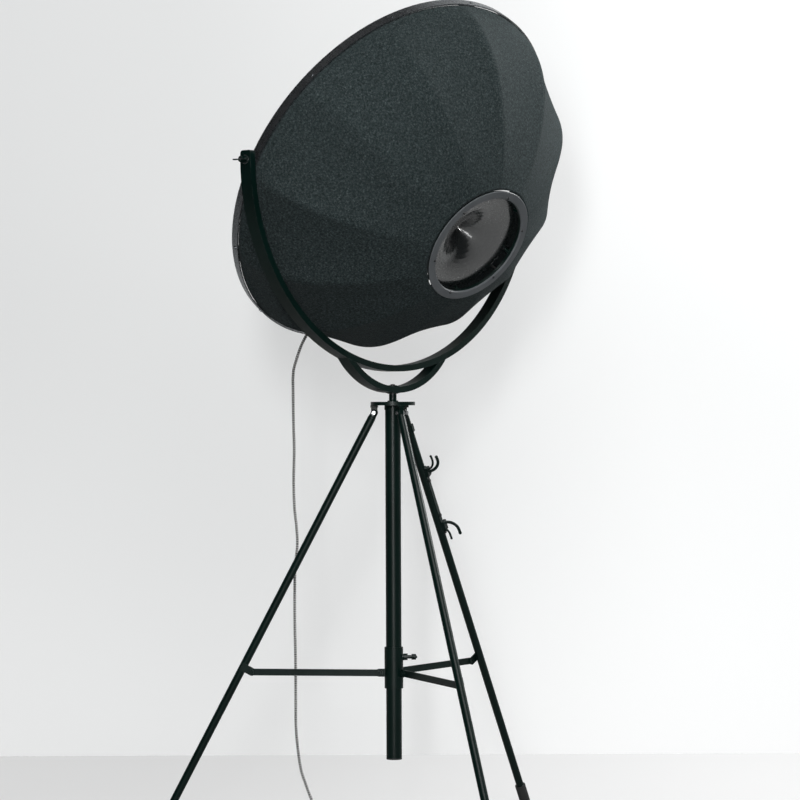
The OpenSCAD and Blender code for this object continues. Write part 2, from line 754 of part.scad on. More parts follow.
// How flat a gore is: round at the hem and at the apex, flat between
function flatness(s) = draw_in * pow(max(0, sin(180 * s)), 0.5);
function gore_r(r, part, s) =
    let (half = 180 / ribs, chord = r * cos(half) / cos(half * (1 - 2 * part)))
    r + (chord - r) * flatness(s);

module shade_cover() {
    rows = 8;
    cols = 4;
    around = ribs * cols;
    hem_in = 6;
    line = function (off) concat(
        [for (i = [0 : rows]) concat(ridge(i / rows, off), [i / rows])],
        [[apex_r - hem_in, dome_h - off, 1]]);
    ring = function (p) [for (j = [0 : around - 1])
        let (a = rib_phase + 360 * j / around, part = (j % cols) / cols,
             r = gore_r(p[0], part, p[2]))
        [r * cos(a), r * sin(a), p[1]]];
    loop = concat(line(0), [for (i = [rows + 1 : -1 : 0]) line(fabric_t)[i]]);
    count = len(loop);
    pts = [for (p = loop) each ring(p)];
    faces = [for (i = [0 : count - 1]) for (j = [0 : around - 1])
        let (n = (i + 1) % count, m = (j + 1) % around,
             a = i * around + j, b = i * around + m, c = n * around + j, d = n * around + m)
        each [[a, c, b], [b, c, d]]];
    color(fabric_grey) shade_frame() polyhedron(points = pts, faces = faces, convexity = 6);
}

// ---- apex
module apex_ring() {
    color(ring_grey) shade_frame() difference() {
        translate([0, 0, apex_z]) rotate_extrude($fn = 128)
            polygon([[apex_in, 0], [apex_r - 1, 0], [apex_r, 1], [apex_r, apex_t - 1],
                     [apex_r - 1, apex_t], [apex_in + 2, apex_t], [apex_in, apex_t - 2]]);
        ring_holes(4.2);
    }
}

module ring_holes(d) {
    for (k = [0 : 5]) rotate([0, 0, screw_phase + 60 * k])
        translate([screw_r, 0, clamp_z - 1]) cylinder(d = d, h = 40);
}

module apex_clamp_ring() {
    color(steel_green) shade_frame() difference() {
        translate([0, 0, clamp_z]) cylinder(r = apex_r - 3.5, h = clamp_t, $fn = 128);
        translate([0, 0, clamp_z - 1]) cylinder(r = apex_in + 1, h = clamp_t + 2, $fn = 128);
        ring_holes(4.2);
    }
}

module apex_ring_screws() {
    color(rubber_black) shade_frame() for (k = [0 : 5]) rotate([0, 0, screw_phase + 60 * k])
        translate([screw_r, 0, 0]) {
            translate([0, 0, clamp_z]) cylinder(d = 4, h = apex_face - clamp_z + 0.5);
            translate([0, 0, apex_face]) cylinder(d1 = 6.4, d2 = 5, h = 1.4);
        }
}

// The funnel: a trumpet whose pointed tip faces the bulb
module reflector_funnel() {
    wall = 1.4;
    steps = 14;
    edge_z = apex_face - funnel_back;
    deep = funnel_tip - funnel_back;
    bell = (funnel_r * funnel_r + deep * deep) / (2 * deep);
    tip_turn = asin(funnel_r / bell);
    curve = function (r) [for (i = [0 : steps]) let (a = tip_turn * i / steps)
        [max(0, funnel_r - r * sin(a)), r * cos(a) - bell]];
    outer = curve(bell);
    inner = curve(bell - wall);
    color(gloss_black) shade_frame() {
        translate([0, 0, edge_z]) rotate_extrude($fn = 128)
            polygon(concat(outer, [[0, -deep - 2]],
                           [for (i = [steps - 1 : -1 : 0]) inner[i]]));
        translate([0, 0, edge_z - wall]) difference() {
            union() {
                cylinder(r = funnel_r + 3, h = wall, $fn = 128);
                for (k = [0 : 2]) rotate([0, 0, pillar_phase + 120 * k])
                    translate([funnel_r - 5, -8, 0]) cube([23, 16, wall]);
            }
            translate([0, 0, -1]) cylinder(r = funnel_r - 2, h = wall + 2, $fn = 128);
        }
    }
}

module funnel_pillars() {
    edge_z = apex_face - funnel_back;
    color(steel_green) shade_frame() for (k = [0 : 2]) rotate([0, 0, pillar_phase + 120 * k])
        translate([funnel_r + 12, 0, edge_z]) cylinder(d = 8, h = clamp_z - edge_z);
}

module support_rods() {
    top = [rod_end_r, 0, clamp_z - 2];
    foot = [cup_r + 3, 0, cup_mouth + 2];
    color(steel_green) shade_frame() for (k = [0 : 2]) rotate([0, 0, rod_phase + 120 * k]) {
        rod(foot, top, 6);
        translate([top[0], 0, clamp_z - 3]) cylinder(d = 13, h = 3);
        translate([foot[0], 0, cup_mouth + fit]) cylinder(d = 13, h = 4);
    }
}

// ---- lamp
module lamp_cup() {
    wall = 1.6;
    floor_z = 30;
    color(white) shade_frame() difference() {
        union() {
            intersection() {
                translate([0, 0, cup_mouth]) sphere(r = cup_r, $fn = 96);
                translate([0, 0, floor_z]) cylinder(r = 100, h = cup_mouth - floor_z);
            }
            translate([0, 0, cup_mouth - 2]) cylinder(r = cup_r + 10, h = 2, $fn = 96);
        }
        intersection() {
            translate([0, 0, cup_mouth]) sphere(r = cup_r - wall, $fn = 96);
            translate([0, 0, floor_z + 2]) cylinder(r = 100, h = 100);
        }
        translate([0, 0, floor_z - 1]) cylinder(d = 10, h = 6);
        rotate([0, 0, lead_plane]) translate([0, 0, gland_z]) along_x(9, cup_r - 10, cup_r + 10);
    }
}

module lampholder() {
    color(gloss_black) shade_frame() {
        difference() {
            union() {
                translate([0, 0, 32 + fit]) cylinder(d = 44, h = 6);
                translate([0, 0, 37]) cylinder(d = 38, h = 40.6);
            }
            translate([0, 0, 50]) cylinder(d = 27, h = 40);
        }
        translate([0, 0, 27]) cylinder(d = 10 - 2 * fit, h = 8);
        translate([0, 0, 26]) cylinder(d = 18, h = 3.9);
    }
}

module bulb_base() {
    color(bright) shade_frame() {
        translate([0, 0, 50]) cylinder(d1 = 12, d2 = 26, h = 4);
        translate([0, 0, 54]) cylinder(d = 26.8, h = 24);
    }
}

module bulb_glass() {
    color(lamp_white) shade_frame() difference() {
        bulb_shape(0);
        bulb_shape(1.2);
    }
}

// The bulb's outline, drawn in by wall; the neck is open at the bottom
module bulb_shape(wall) {
    neck_d = 34 - 2 * wall;
    centre = 82 + bulb_r + 18;
    translate([0, 0, centre]) sphere(r = bulb_r - wall, $fn = 64);
    translate([0, 0, 86]) cylinder(d = neck_d, h = centre - 86);
    translate([0, 0, 78 - wall / 2]) cylinder(d1 = 29.2 - 2 * wall, d2 = neck_d, h = 8 + wall / 2);
}

module cup_gland() {
    color(gloss_black) shade_frame() rotate([0, 0, lead_plane]) translate([0, 0, gland_z]) {
        along_x(9 - 2 * fit, cup_r - 6, cup_r + 0.5);
        along_x(13, cup_r - 0.2, cup_r + 4);
    }
}

// ---- cord
function polar(p) = [p[0] * cos(p[1]), p[0] * sin(p[1]), p[2]];

module inner_lead() {
    color(cord_grey) shade_frame()
        tube(smooth([for (p = LEAD) polar(p)], 16), cord_d, 8, [0, 0, 1]);
}

// Open clips that hold the lead under the lowest rib
module lead_clips() {
    clip_l = 8;
    rib_at = arc_r - rib_in;
    lead_at = arc_r - lead_off;
    color(rubber_black) shade_frame() rotate([0, 0, lead_plane]) rotate([90, 0, 0])
        for (turn = [20, 35]) translate([arc_c, -arc_drop, 0]) rotate([0, 0, turn]) difference() {
            translate([lead_at - 6, -clip_l / 2, -5]) cube([rib_at + 0.9 - lead_at + 6, clip_l, 10]);
            translate([rib_at, clip_l, 0]) rotate([90, 0, 0])
                cylinder(d = rib_d + 0.3, h = 2 * clip_l);
            translate([lead_at, clip_l, 0]) rotate([90, 0, 0])
                cylinder(d = cord_d + 1.2, h = 2 * clip_l);
        }
}

module rim_grommet() {
    color(rubber_black) shade_frame() rotate([0, 0, grommet_a]) translate([0, 0, 5])
        difference() {
            union() {
                along_x(11 - 2 * fit, band_in - 3, rim_r + 1);
                along_x(15, rim_r + fit, rim_r + 2);
                along_x(14, band_in - 4, band_in - 0.3);
            }
            along_x(cord_d, band_in - 5, band_in - 3);
        }
}

module cord_upper() {
    color(cord_grey) tube(smooth(UPPER, 14), cord_d, 8, [1, 0, 0]);
}

module cord_drop() {
    color(cord_grey) tube(smooth(DROP, 18), cord_d, 8, [1, 0, 0]);
}

module cord_tail() {
    color(cord_grey) tube(smooth(TAIL, 14), cord_d, 8, [1, 0, 0]);
}

// Two layers: in to the middle on the floor, then out again on top
function coil_point(u) =
    let (r = coil_out_r - coil_pitch * (coil_turns - abs(u - coil_turns)),
         climb = min(1, max(0, (u - coil_turns + 0.25) / 0.5)), a = 180 - 360 * u)
    [coil_c[0] + r * cos(a), coil_c[1] + r * sin(a), coil_z + coil_pitch * climb];
coil_steps = 2 * coil_turns * coil_rings;
coil_wound = [for (i = [0 : coil_steps]) coil_point(i / coil_rings)];
coil_path = concat([coil_wound[0] - [0, cord_d, 0]], coil_wound,
                   [coil_wound[coil_steps] + [0, cord_d, 0]]);
coil_gap = min([for (i = [0 : len(coil_path) - 1]) for (j = [i + 12 : 1 : len(coil_path) - 1])
    norm(coil_path[i] - coil_path[j])]) - cord_d;

module cord_coil() {
    echo(coil_gap = coil_gap);
    color(cord_grey) tube(coil_path, cord_d, 6, [0, 0, 1]);
}

module plug() {
    color(rubber_black) translate([plug_x, plug_y, plug_z]) {
        rotate([-90, 0, 0]) cylinder(d1 = 11, d2 = 16, h = 16);
        translate([0, 16 - eps, 0]) rotate([-90, 0, 0]) cylinder(d1 = 24, d2 = 36, h = 8);
        along_y(38, 24 - 2 * eps, 46);
    }
    color(bright) translate([plug_x, plug_y, plug_z]) for (s = [-1, 1])
        translate([s * 9.5, 0, 0]) along_y(4.8, 40, 65);
}

column_tube();
top_plate();
rod_collet();
column_bush();
column_end_plug();
leg_brackets();
leg_hinge_bolts();
leg(1);  // leg_1
leg(2);  // leg_2
leg(3);  // leg_3
foot_cap(1);  // foot_cap_1
foot_cap(2);  // foot_cap_2
foot_cap(3);  // foot_cap_3
spreader_collar();
collar_pivot_bolts();
collar_wing_screw();
spreader_arm(1);  // spreader_arm_1
spreader_arm(2);  // spreader_arm_2
spreader_arm(3);  // spreader_arm_3
arm_end_bolts(1);  // arm_end_bolts_1
arm_end_bolts(2);  // arm_end_bolts_2
arm_end_bolts(3);  // arm_end_bolts_3
hook_backplate();
hook_upper();
hook_lower();
hook_screws();
mast_rod();
rod_guide();
swivel_washers();
swivel_screw();
yoke_arc();
yoke_crescent();
pivot_bolts();
pivot_washers();
wing_nut(0);  // wing_nut_left
wing_nut(180);  // wing_nut_right
rim_band();
pivot_plates();
rim_rivets();
shade_ribs();
shade_cover();
apex_ring();
apex_clamp_ring();
apex_ring_screws();
reflector_funnel();
funnel_pillars();
support_rods();
lamp_cup();
lampholder();
bulb_base();
bulb_glass();
cup_gland();
inner_lead();
lead_clips();
rim_grommet();
cord_upper();
cord_drop();
cord_coil();
cord_tail();
plug();
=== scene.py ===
"""Tripod spotlight floor lamp: a ribbed fabric dome on a steel yoke, dressed for its photograph.

Every size is in metres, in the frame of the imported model: the floor is z = 0, the column
stands on the z axis, and the light shines towards -Y, tilted up.
"""
import json
import math

import bmesh
import bpy
from mathutils import Matrix, Vector


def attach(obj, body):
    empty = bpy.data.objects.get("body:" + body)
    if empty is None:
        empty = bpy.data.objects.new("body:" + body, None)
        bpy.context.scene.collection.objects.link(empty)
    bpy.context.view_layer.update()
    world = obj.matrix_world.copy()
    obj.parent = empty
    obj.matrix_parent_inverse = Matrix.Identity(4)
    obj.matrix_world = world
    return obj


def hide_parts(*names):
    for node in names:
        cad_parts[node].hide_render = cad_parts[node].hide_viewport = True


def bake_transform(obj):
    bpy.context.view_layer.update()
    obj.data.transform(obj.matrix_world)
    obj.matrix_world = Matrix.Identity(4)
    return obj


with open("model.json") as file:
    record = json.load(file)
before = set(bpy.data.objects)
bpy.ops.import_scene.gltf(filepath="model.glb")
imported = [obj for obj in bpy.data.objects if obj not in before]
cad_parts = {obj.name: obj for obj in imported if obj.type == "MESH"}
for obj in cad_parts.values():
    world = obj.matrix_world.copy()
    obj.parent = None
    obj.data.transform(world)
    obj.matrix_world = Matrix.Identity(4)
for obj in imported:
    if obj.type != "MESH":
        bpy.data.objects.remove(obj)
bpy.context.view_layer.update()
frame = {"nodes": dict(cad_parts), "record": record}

MM = 0.001

# ---- sizes that the pieces share
PIVOT_Z = 1.478  # height of the tilt axis
TILT = math.radians(34)  # the shade's tilt at rest
RIM_R = 0.430  # outer radius of the rim band
RIM_T = 0.003  # its thickness
RIDGE_R = RIM_R - RIM_T - 0.0004  # radius of the cloth at the rim, just inside the band
ARC_R = 0.280  # the dome's lower arc: its radius,
ARC_DROP = 0.016  # its centre's depth under the tilt plane,
ARC_C = RIDGE_R - math.sqrt(ARC_R ** 2 - ARC_DROP ** 2)  # the centre's distance from the axis,
ARC_TURN = math.radians(45)  # and where the flatter upper arc takes over
DOME_R = 0.1385  # radius of the cloth at the apex
DOME_H = 0.314  # height of the cloth at the apex
HEM_H = 0.012  # height of the hem
FABRIC_T = 0.0012
RIBS = 12
RIB_PHASE = math.radians(4)  # where the first rib stands
DRAW_IN = 1.6  # how far a gore sinks between its ribs, 1 being the straight chord
RIB_D = 0.005
CORD_D = 0.0065
CUP_R = 0.080
GLAND_Z = 0.085  # height of the lead's way out of the lamp cup
LEAD_BEND = 0.027  # bend radius of the lead
GROMMET_A = math.radians(85)  # where the lead passes the rim
RIB_IN = FABRIC_T + 0.0018 + RIB_D / 2  # from the cloth's outer face in to a rib's centre
LEAD_OFF = RIB_IN + 0.0068  # from the cloth's outer face in to the lead's centre

# ---- the camera's frame
CAMERA_AZIMUTH = math.radians(46)
TOWARDS_CAMERA = Vector((math.sin(CAMERA_AZIMUTH), math.cos(CAMERA_AZIMUTH), 0))
CAMERA_RIGHT = Vector((-math.cos(CAMERA_AZIMUTH), math.sin(CAMERA_AZIMUTH), 0))
EYE_HEIGHT = 0.956
CAMERA_DISTANCE = 6.0075
IMAGE_WIDTH = 800
FOCAL_PIXELS = 2670
SHIFT_PIXELS = (7.2, 4.0)
SENSOR = 36
ROLL = 0.004

# ---- the room
WALL_BEHIND = 1.27
WALL_SIZE = (14, 8)
FLOOR_SIZE = (14, 14)


# ======================================================================== camera
def make_camera():
    eye = TOWARDS_CAMERA * CAMERA_DISTANCE + Vector((0, 0, EYE_HEIGHT))
    bpy.ops.object.camera_add(location=eye)
    camera = bpy.context.object
    camera.name = "camera"
    camera.data.sensor_width = SENSOR
    camera.data.lens = SENSOR * FOCAL_PIXELS / IMAGE_WIDTH
    camera.data.shift_x = SHIFT_PIXELS[0] / IMAGE_WIDTH
    camera.data.shift_y = SHIFT_PIXELS[1] / IMAGE_WIDTH
    up = Vector((0, 0, 1))
    right = CAMERA_RIGHT * math.cos(ROLL) - up * math.sin(ROLL)
    above = up * math.cos(ROLL) + CAMERA_RIGHT * math.sin(ROLL)
    turn = Matrix((right, above, TOWARDS_CAMERA)).transposed()
    camera.rotation_euler = turn.to_euler()
    bpy.context.scene.camera = camera


# ======================================================================== routes of the cord
def curve_through(points, step):
    """A smooth path through the points, with a point about every step metres."""
    ends = [2 * points[0] - points[1], *points, 2 * points[-1] - points[-2]]
    path = []
    for i in range(1, len(ends) - 2):
        a, b, c, d = ends[i - 1 : i + 3]
        count = max(1, math.ceil((c - b).length / step))
        for k in range(count):
            t = k / count
            path.append(
                0.5 * (2 * b + (c - a) * t + (2 * a - 5 * b + 4 * c - d) * t * t
                       + (3 * b - a - 3 * c + d) * t ** 3)
            )
    return path + [points[-1]]


def in_metres(points):
    return [Vector(p) * MM for p in points]


UPPER = in_metres([
    (37.7, -236.6, 1118.3), (38.5, -241.6, 1110.9), (40, -256, 1088), (41, -268, 1062),
    (41, -278, 1038), (41, -281, 1015), (41, -281, 1005),
])
DROP = in_metres([
    (41, -281, 1005), (41, -281, 995), (40, -281, 920), (38, -281, 850), (38, -283, 780),
    (37, -282, 720), (35, -277, 670), (34, -276, 630), (37, -280, 580), (38, -281, 520),
    (38, -281, 440), (37, -280, 360), (37, -280, 280), (37, -279, 200), (34, -269, 120),
    (28, -258, 80), (21, -246, 44), (16, -232, 16), (14, -216, 4.5), (14, -205, 3.5),
    (14, -196.5, 3.5),
])
TAIL = in_metres([
    (14, -183.5, 10.5), (14, -176, 10.8), (13, -165, 13), (12, -154, 17), (12, -146, 19),
    (12, -138, 19),
])
COIL_CENTRE = Vector((0.060, -0.190, 0.0035))
COIL_MEAN_R = 0.034
COIL_TURNS = 3.5
COIL_PITCH = CORD_D + 0.0005
FALL_END_Z = 0.630  # height where the hanging flex is cut into two stretches
CORD_SIDES = 14


def coil_path(per_turn):
    """Two layers: in to the middle on the floor, then out again on top."""
    outer = COIL_MEAN_R + COIL_TURNS * COIL_PITCH / 2
    path = []
    for i in range(int(2 * COIL_TURNS * per_turn) + 1):
        u = i / per_turn
        r = outer - COIL_PITCH * (COIL_TURNS - abs(u - COIL_TURNS))
        climb = min(1, max(0, (u - COIL_TURNS + 0.25) / 0.5))
        a = math.pi - math.tau * u
        path.append(COIL_CENTRE + Vector((r * math.cos(a), r * math.sin(a), COIL_PITCH * climb)))
    return path


def ridge_point(s, off=0.0):
    """Radius and height of the fabric's ridge line, from the hem (s = 0) to the apex (s = 1)."""
    joint = (ARC_C + ARC_R * math.cos(ARC_TURN), ARC_R * math.sin(ARC_TURN) - ARC_DROP)
    if s < 0.5:
        start = math.asin((HEM_H + ARC_DROP) / ARC_R)
        a = start + (ARC_TURN - start) * 2 * s
        return ARC_C + (ARC_R - off) * math.cos(a), (ARC_R - off) * math.sin(a) - ARC_DROP
    v = (DOME_R - joint[0], DOME_H - joint[1])
    ray = (math.cos(ARC_TURN), math.sin(ARC_TURN))
    radius = -(v[0] ** 2 + v[1] ** 2) / (2 * (v[0] * ray[0] + v[1] * ray[1]))
    centre = (joint[0] - radius * ray[0], joint[1] - radius * ray[1])
    end = math.atan2(DOME_H - centre[1], DOME_R - centre[0])
    a = ARC_TURN + (end - ARC_TURN) * (2 * s - 1)
    return centre[0] + (radius - off) * math.cos(a), centre[1] + (radius - off) * math.sin(a)


def from_shade(x, y, h):
    """A point of the shade's own frame, with h above the tilt plane, in the shared frame."""
    s, c = math.sin(TILT), math.cos(TILT)
    return Vector((x, -s * y + c * h, PIVOT_Z - c * y - s * h))


def lead_path():
    """The lead from the cup's gland, up beside a rod, down the lowest rib and to the grommet."""
    plane = math.radians(90) + RIB_PHASE
    low = (CUP_R + 0.008, GLAND_Z + LEAD_BEND)
    high = ridge_point(0.9, LEAD_OFF + LEAD_BEND)

    def turned(centre, degrees):
        a = math.radians(degrees)
        return centre[0] + LEAD_BEND * math.cos(a), centre[1] + LEAD_BEND * math.sin(a)

    start, lean = turned(high, 170), math.radians(10)
    route = [(CUP_R + 0.0041, GLAND_Z)] + [turned(low, a) for a in (-90, -65, -40, -15)]
    route += [(start[0] - d * math.sin(lean), start[1] - d * math.cos(lean))
              for d in (0.146, 0.116, 0.080, 0.044, 0.014)]
    route += [turned(high, a) for a in (170, 145, 120, 95, 75)]
    route += [ridge_point(s, LEAD_OFF)
              for s in (0.88, 0.82, 0.76, 0.7, 0.62, 0.54, 0.46, 0.38, 0.3, 0.22, 0.17)]
    at_rim = ((26.6, 62.8, 53), (28.6, 61.5, 38), (30.6, 57.5, 25.5), (31.8, 50, 15.5),
              (32.2, 39.5, 9.5), (31.6, 28, 6.6), (29.3, 17, 5.3), (24, 7, 5), (16.5, 1.4, 5),
              (10.5, 0.1, 5), (6, 0, 5))
    points = [(r, plane, h) for r, h in route]
    for inwards, round_rim, h in at_rim:
        r = RIM_R - inwards * MM
        points.append((r, GROMMET_A + round_rim * MM / r, h * MM))
    return [from_shade(r * math.cos(a), r * math.sin(a), h) for r, a, h in points]


def tube_along(name, path, diameter, sides):
    """A closed round tube along the path, with a map in metres: round the tube, and along it."""
    count = len(path)
    mesh = bpy.data.meshes.new(name)
    bm = bmesh.new()
    uv = bm.loops.layers.uv.new("cloth")
    tangents = [(path[min(i + 1, count - 1)] - path[max(i - 1, 0)]).normalized()
                for i in range(count)]
    side = tangents[0].orthogonal().normalized()
    rings, along = [], [0.0]
    for i in range(count):
        side = (side - tangents[i] * side.dot(tangents[i])).normalized()
        other = tangents[i].cross(side)
        rings.append([
            bm.verts.new(path[i] + (side * math.cos(math.tau * k / sides)
                                    + other * math.sin(math.tau * k / sides)) * diameter / 2)
            for k in range(sides)
        ])
        if i:
            along.append(along[-1] + (path[i] - path[i - 1]).length)
    for i in range(count - 1):
        for k in range(sides):
            m = (k + 1) % sides
            face = bm.faces.new((rings[i][k], rings[i][m], rings[i + 1][m], rings[i + 1][k]))
            face.smooth = True
            for loop, (u, v) in zip(face.loops, ((k, i), (k + 1, i), (k + 1, i + 1), (k, i + 1))):
                loop[uv].uv = (math.pi * diameter * u / sides, along[v])
    bm.faces.new(list(reversed(rings[0])))
    bm.faces.new(rings[-1])
    bmesh.ops.recalc_face_normals(bm, faces=bm.faces)
    bm.to_mesh(mesh)
    bm.free()
    piece = bpy.data.objects.new(name, mesh)
    bpy.context.collection.objects.link(piece)
    return piece


# ======================================================================== materials
def new_finish(name):
    material = bpy.data.materials.new(name)
    material.use_nodes = True
    nodes = material.node_tree.nodes
    return material, nodes, material.node_tree.links, nodes["Principled BSDF"]


def add(nodes, kind, **values):
    """A node of this kind, with its properties and unlinked inputs set by name."""
    node = nodes.new(kind)
    for key, value in values.items():
        if hasattr(node, key):
            setattr(node, key, value)
        else:
            node.inputs[key.replace("_", " ")].default_value = value
    return node


def noise(nodes, links, source, scale, detail=2.0, roughness=0.5):
    node = add(nodes, "ShaderNodeTexNoise", Scale=scale, Detail=detail, Roughness=roughness)
    links.new(source, node.inputs["Vector"])
    return node.outputs["Fac"]


def ramp(nodes, links, source, stops):
    """A colour ramp; stops are (place, (r, g, b)) or (place, grey)."""
    node = nodes.new("ShaderNodeValToRGB")
    elements = node.color_ramp.elements
    while len(elements) < len(stops):
        elements.new(0.5)
    for element, (place, colour) in zip(elements, stops):
        element.position = place
        element.color = (*(colour if hasattr(colour, "__len__") else (colour,) * 3), 1)
    links.new(source, node.inputs["Fac"])
    return node.outputs["Color"]


def maths(nodes, links, operation, *sources):
    node = add(nodes, "ShaderNodeMath", operation=operation)
    for socket, source in zip(node.inputs, sources):
        if isinstance(source, (int, float)):
            socket.default_value = source
        else:
            links.new(source, socket)
    return node.outputs[0]


def mix(nodes, links, amount, a, b, blend="MIX"):
    node = add(nodes, "ShaderNodeMix", data_type="RGBA", blend_type=blend)
    for socket, source in zip((node.inputs[0], node.inputs[6], node.inputs[7]), (amount, a, b)):
        if hasattr(source, "is_output"):
            links.new(source, socket)
        else:
            socket.default_value = source if isinstance(source, (int, float)) else (*source, 1)
    return node.outputs[2]


def bump(nodes, links, shader, height, strength, distance):
    node = add(nodes, "ShaderNodeBump", Strength=strength, Distance=distance)
    links.new(height, node.inputs["Height"])
    links.new(node.outputs["Normal"], shader.inputs["Normal"])


def object_place(nodes):
    return nodes.new("ShaderNodeTexCoord").outputs["Object"]


def painted(name, dark, light, rough, peel=0.25, metallic=0.0, coat=0.0):
    """Baked paint: slightly uneven colour and gloss, with a fine orange-peel surface."""
    material, nodes, links, shader = new_finish(name)
    place = object_place(nodes)
    cloudy = noise(nodes, links, place, 14, 4, 0.6)
    links.new(ramp(nodes, links, cloudy, ((0.3, dark), (0.72, light))), shader.inputs["Base Color"])
    scuffs = noise(nodes, links, place, 95, 6, 0.72)
    gloss = ramp(nodes, links, scuffs, ((0.35, rough * 0.82), (0.62, rough), (0.8, rough * 1.35)))
    links.new(gloss, shader.inputs["Roughness"])
    bump(nodes, links, shader, noise(nodes, links, place, 750, 2, 0.5), peel, 0.00015)
    shader.inputs["Metallic"].default_value = metallic
    shader.inputs["Coat Weight"].default_value = coat
    shader.inputs["Coat IOR"].default_value = 2.2
    shader.inputs["Coat Roughness"].default_value = 0.16
    return material


def bare_steel(name, colour, rough):
    """Zinc-plated steel, with a fine brushed grain and slightly clouded plating."""
    material, nodes, links, shader = new_finish(name)
    place = object_place(nodes)
    grain = add(nodes, "ShaderNodeMapping")
    grain.inputs["Scale"].default_value = (60, 60, 2600)
    links.new(place, grain.inputs["Vector"])
    brushed = noise(nodes, links, grain.outputs["Vector"], 1, 3, 0.6)
    cloudy = noise(nodes, links, place, 160, 3, 0.6)
    dull = tuple(c * 0.72 for c in colour)
    links.new(ramp(nodes, links, cloudy, ((0.3, dull), (0.7, colour))), shader.inputs["Base Color"])
    links.new(ramp(nodes, links, brushed, ((0.2, rough * 0.75), (0.8, rough * 1.3))),
              shader.inputs["Roughness"])
    bump(nodes, links, shader, brushed, 0.12, 0.0001)
    shader.inputs["Metallic"].default_value = 1.0
    return material


def moulded(name, dark, light, rough, grain=420, depth=0.2):
    """Moulded rubber or plastic: a faint pebbled skin and a dusty bloom."""
    material, nodes, links, shader = new_finish(name)
    place = object_place(nodes)
    bloom = noise(nodes, links, place, 45, 5, 0.65)
    links.new(ramp(nodes, links, bloom, ((0.3, dark), (0.75, light))), shader.inputs["Base Color"])
    links.new(ramp(nodes, links, bloom, ((0.25, rough * 0.85), (0.8, min(1, rough * 1.2)))),
              shader.inputs["Roughness"])
    bump(nodes, links, shader, noise(nodes, links, place, grain, 2, 0.5), depth, 0.0002)
    return material


def paint_with_worn_and_highlit_edges(name, dark, light, rough, bare, wear_and_highlight=0.5):
    """Powder coat over steel: even colour, fine peel, and edges lighter in patches, partly rubbed
    paint and partly a painted highlight along the edges.
    """
    material, nodes, links, shader = new_finish(name)
    place = object_place(nodes)
    cloudy = noise(nodes, links, place, 11, 4, 0.6)
    colour = ramp(nodes, links, cloudy, ((0.3, dark), (0.72, light)))
    # Edges found from the rounded normal get a lighter colour: rubbed paint and a painted edge
    # highlight.
    soft_edge = add(nodes, "ShaderNodeBevel", samples=4, Radius=0.0012)
    true_face = nodes.new("ShaderNodeNewGeometry")
    facing = add(nodes, "ShaderNodeVectorMath", operation="DOT_PRODUCT")
    links.new(soft_edge.outputs["Normal"], facing.inputs[0])
    links.new(true_face.outputs["Normal"], facing.inputs[1])
    edge = ramp(nodes, links, facing.outputs["Value"], ((0.86, 1.0), (0.97, 0.0)))
    blotches = noise(nodes, links, place, 70, 5, 0.7)
    patches = ramp(nodes, links, blotches, ((0.45, 0.0), (0.62, 1.0)))
    worn_and_highlit_edge = maths(nodes, links, "MULTIPLY", edge, patches)
    edge_wear_and_highlight = maths(nodes, links, "MULTIPLY", worn_and_highlit_edge, wear_and_highlight)
    links.new(mix(nodes, links, edge_wear_and_highlight, colour, bare), shader.inputs["Base Color"])
    scuffs = noise(nodes, links, place, 95, 6, 0.72)
    gloss = ramp(nodes, links, scuffs, ((0.35, rough * 0.84), (0.62, rough), (0.8, rough * 1.3)))
    links.new(mix(nodes, links, edge_wear_and_highlight, gloss, (0.3, 0.3, 0.3)), shader.inputs["Roughness"])
    bump(nodes, links, shader, noise(nodes, links, place, 900, 2, 0.5), 0.2, 0.00012)
    shader.inputs["Specular IOR Level"].default_value = 0.2
    return material


WALE_PITCH = 0.0011
COURSE_PITCH = 0.0009


def knitted_cover():
    """Dark heathered stretch cloth: fine ribbed knit, two mixed yarns and soft fibres."""
    material, nodes, links, shader = new_finish("shade_fabric_knit")
    cloth = add(nodes, "ShaderNodeUVMap", uv_map="cloth").outputs["UV"]
    place = object_place(nodes)
    split = nodes.new("ShaderNodeSeparateXYZ")
    links.new(cloth, split.inputs[0])
    across, along = split.outputs[0], split.outputs[1]

    def waves(source, pitch):
        return maths(nodes, links, "SINE",
                     maths(nodes, links, "MULTIPLY", source, math.tau / pitch))

    knit = maths(nodes, links, "MULTIPLY", waves(across, WALE_PITCH), waves(along, COURSE_PITCH))

    threads = nodes.new("ShaderNodeMapping")
    threads.inputs["Scale"].default_value = (620, 190, 1)
    links.new(cloth, threads.inputs["Vector"])
    yarn = noise(nodes, links, threads.outputs["Vector"], 1, 3, 0.65)
    slub = noise(nodes, links, place, 240, 4, 0.75)
    flecks = maths(nodes, links, "ADD", maths(nodes, links, "MULTIPLY", yarn, 0.45),
                   maths(nodes, links, "MULTIPLY", slub, 0.55))
    tone = ramp(nodes, links, flecks, (
        (0.34, (0.0060, 0.0102, 0.0106)), (0.47, (0.0170, 0.0245, 0.0250)),
        (0.57, (0.0350, 0.0450, 0.0465)), (0.69, (0.0840, 0.0980, 0.1020)),
    ))
    heather = noise(nodes, links, place, 170, 4, 0.75)
    shade = ramp(nodes, links, heather, ((0.33, 0.62), (0.67, 1.38)))
    links.new(mix(nodes, links, 1.0, tone, shade, "MULTIPLY"), shader.inputs["Base Color"])
    links.new(ramp(nodes, links, slub, ((0.3, 0.78), (0.7, 0.96))), shader.inputs["Roughness"])
    height = maths(nodes, links, "ADD", maths(nodes, links, "MULTIPLY", knit, 0.25), flecks)
    bump(nodes, links, shader, height, 0.55, 0.0006)
    shader.inputs["Specular IOR Level"].default_value = 0.05
    shader.inputs["Sheen Weight"].default_value = 0.06
    shader.inputs["Sheen Roughness"].default_value = 0.45
    shader.inputs["Sheen Tint"].default_value = (0.62, 0.68, 0.70, 1)
    return material


BRAID_CARRIERS = 6
BRAID_LAY = 0.0052


